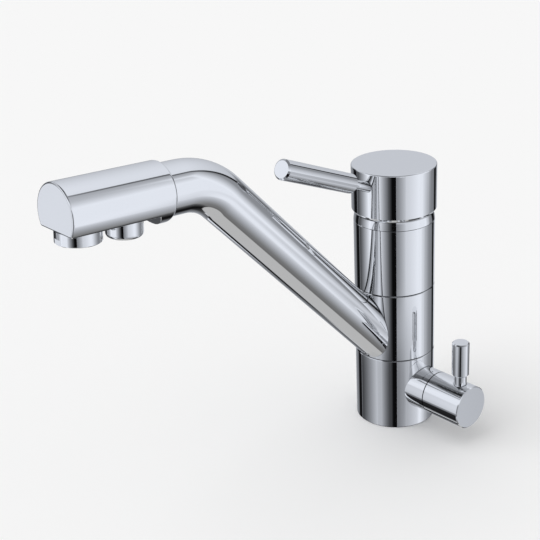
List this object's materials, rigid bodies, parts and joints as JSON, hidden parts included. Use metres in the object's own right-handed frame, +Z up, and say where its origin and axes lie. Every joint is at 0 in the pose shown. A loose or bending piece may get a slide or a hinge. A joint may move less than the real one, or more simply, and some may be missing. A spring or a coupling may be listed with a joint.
{
  "type": "three way filtered water kitchen tap",
  "caption": "Chrome deck-mounted kitchen tap with a swivelling spout, single mixing lever, side lever valve for filtered water and separate outlets under the spout head.",
  "frame": {"origin": "centre of the base's underside, on the worktop and on the column's axis", "axes": "+Z up along the column, -Y towards the user along the spout at rest, +X along the filtered water valve"},
  "size_m": [0.0877, 0.2567, 0.2143],
  "materials": {
    "chrome_plate": "bright chrome plating on brass",
    "bare_brass": "machined brass",
    "stainless": "machined stainless steel",
    "seal_rubber": "moulded black rubber",
    "ceramic": "lapped white ceramic",
    "white_plastic": "moulded white acetal",
    "grey_plastic": "moulded grey plastic",
    "red_plastic": "moulded red plastic",
    "tube_plastic": "extruded food grade plastic",
    "indicator": "gloss plug"
  },
  "bodies": {
    "column": {"base_body": "chrome_plate", "base_gasket": "seal_rubber", "core_column": "bare_brass", "lower_slip_ring": "white_plastic", "upper_slip_ring": "white_plastic", "swivel_o_rings": "seal_rubber", "upper_body": "chrome_plate", "cartridge_seals": "seal_rubber", "cartridge_base": "white_plastic", "fixed_disc": "ceramic", "cartridge_housing": "red_plastic", "cartridge_nut": "bare_brass", "dome_cover": "chrome_plate", "valve_seat_seal": "seal_rubber", "valve_fixed_disc": "ceramic", "valve_headwork": "bare_brass"},
    "spout": {"swivel_collar": "chrome_plate", "spout_tube": "chrome_plate", "filter_tube": "tube_plastic", "head_casing": "chrome_plate", "head_insert": "white_plastic", "nozzle_o_ring": "seal_rubber", "aerator_housing": "chrome_plate", "aerator_washer": "seal_rubber", "aerator_insert": "grey_plastic", "filter_nozzle": "chrome_plate", "nozzle_insert": "grey_plastic"},
    "turret": {"rotary_guide": "white_plastic", "pivot_pin": "stainless"},
    "disc_slider": {"moving_disc": "ceramic", "disc_carrier": "red_plastic"},
    "mixer_handle": {"handle_cap": "chrome_plate", "cartridge_stem": "stainless", "stem_screw": "stainless", "indicator_plug": "indicator", "lever_stud": "chrome_plate", "lever_grip": "chrome_plate"},
    "filter_handle": {"valve_knob": "chrome_plate", "valve_stick": "chrome_plate", "knob_screw": "stainless", "valve_spindle": "bare_brass", "valve_moving_disc": "ceramic", "spindle_o_ring": "seal_rubber"}
  },
  "joints": [
    {"name": "spout_swivel", "type": "hinge", "parent": "column", "child": "spout", "pos_m": [0, 0, 0.0683], "axis": [0, 0, 1], "continuous": true},
    {"name": "handle_turn", "type": "hinge", "parent": "column", "child": "turret", "pos_m": [0, 0, 0.1302], "axis": [0, 0, 1], "range_deg": [-50.85, 39.15]},
    {"name": "handle_lift", "type": "hinge", "parent": "turret", "child": "mixer_handle", "pos_m": [0, 0, 0.1302], "axis": [-0.9948, -0.1019, 0], "range_deg": [0, 11]},
    {"name": "disc_slide", "type": "slide", "parent": "turret", "child": "disc_slider", "axis": [0.1019, -0.9948, 0], "range_m": [0, 0.0028]},
    {"name": "filter_valve_turn", "type": "hinge", "parent": "column", "child": "filter_handle", "pos_m": [0.0485, 0, 0.0251], "axis": [1, 0, 0], "range_deg": [0, 90]}
  ],
  "couplings": [
    {"joint": "disc_slide", "follows": "handle_lift", "m_per_rad": 0.01415}
  ]
}
